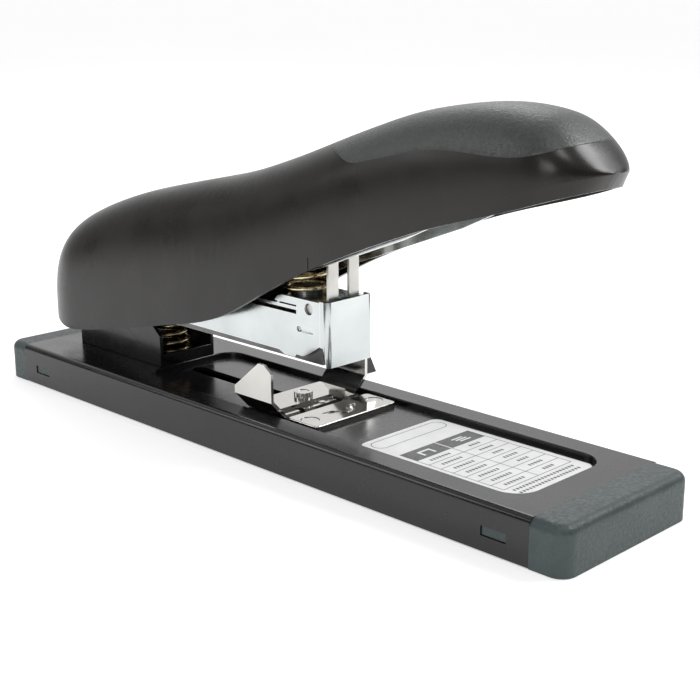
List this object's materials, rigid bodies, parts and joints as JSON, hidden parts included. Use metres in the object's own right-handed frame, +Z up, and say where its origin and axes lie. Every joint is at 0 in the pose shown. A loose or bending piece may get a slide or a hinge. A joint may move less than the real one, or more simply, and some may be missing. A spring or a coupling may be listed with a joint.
{
  "type": "heavy-duty desktop stapler",
  "caption": "Long-arm desktop stapler with a pivoting magazine head, padded press handle, sliding paper guide and a flat steel base.",
  "frame": {"origin": "on the resting surface, under the middle of the base", "axes": "+X towards the anvil end, +Y towards the far long side, +Z up"},
  "size_m": [0.275, 0.062, 0.1208],
  "materials": {
    "pan_paint": "gloss black enamel",
    "cap_plastic": "fine textured blue-grey moulding",
    "plated_steel": "bright zinc plating",
    "nickel_plate": "bright nickel plating",
    "inner_steel": "dark oiled steel",
    "satin_steel": "satin ground steel",
    "spring_wire": "yellow passivated wire",
    "handle_plastic": "satin black moulding",
    "grip_rubber": "stippled dark grey rubber",
    "label_paper": "white printed film",
    "foot_rubber": "matt black rubber",
    "closing_plate": "dark painted steel",
    "black_nylon": "moulded nylon",
    "fastener_steel": "plain zinc"
  },
  "bodies": {
    "base": {"base_pan": "pan_paint", "front_end_cap": "cap_plastic", "rear_end_cap": "cap_plastic", "bottom_plate": "closing_plate", "bottom_screws": "fastener_steel", "rubber_feet": "foot_rubber", "anvil_plate": "nickel_plate", "anvil_rivets": "nickel_plate", "capacity_label": "label_paper", "riser_bracket": "pan_paint", "riser_rivets": "fastener_steel", "main_pin": "satin_steel", "pin_clips": "fastener_steel", "pivot_spacers": "black_nylon", "lift_spring": "spring_wire"},
    "paper_guide": {"guide_plate": "nickel_plate", "guide_thumb_pad": "nickel_plate", "guide_rivet": "nickel_plate", "guide_shoe": "black_nylon"},
    "magazine": {"magazine_channel": "plated_steel", "inner_magazine": "inner_steel", "staple_core": "inner_steel", "head_cover": "plated_steel", "driver_guide": "inner_steel", "head_pin": "satin_steel", "rear_stop": "black_nylon", "guide_rod": "satin_steel", "spring_seat": "inner_steel", "return_spring": "spring_wire", "pusher_spring": "spring_wire"},
    "pusher": {"pusher": "satin_steel"},
    "driver": {"driver_fork": "satin_steel"},
    "handle": {"lever_channel": "plated_steel", "handle_screws": "fastener_steel", "handle_shell": "handle_plastic", "grip_insert": "grip_rubber", "handle_trim": "handle_plastic"}
  },
  "joints": [
    {"name": "guide_slide", "type": "slide", "parent": "base", "child": "paper_guide", "axis": [1, 0, 0], "range_m": [-0.045, 0.003]},
    {"name": "magazine_tilt", "type": "hinge", "parent": "base", "child": "magazine", "pos_m": [-0.0955, 0, 0.0368], "axis": [0, 1, 0], "range_deg": [0, 7.5], "stiffness_Nm_per_rad": 3, "springref_deg": -22.92, "deforming": ["lift_spring"]},
    {"name": "handle_tilt", "type": "hinge", "parent": "magazine", "child": "handle", "pos_m": [-0.0955, 0, 0.0368], "axis": [0, 1, 0], "range_deg": [0, 7.5], "stiffness_Nm_per_rad": 4, "springref_deg": -17.19, "deforming": ["return_spring"]},
    {"name": "driver_slide", "type": "slide", "parent": "magazine", "child": "driver", "axis": [0, 0, -1], "range_m": [0, 0.0165]},
    {"name": "pusher_slide", "type": "slide", "parent": "magazine", "child": "pusher", "axis": [1, 0, 0], "range_m": [-0.06, 0], "stiffness_N_per_m": 30, "springref_m": 0.15, "deforming": ["pusher_spring"]}
  ],
  "couplings": [
    {"joint": "driver_slide", "follows": "handle_tilt", "m_per_rad": 0.125}
  ]
}
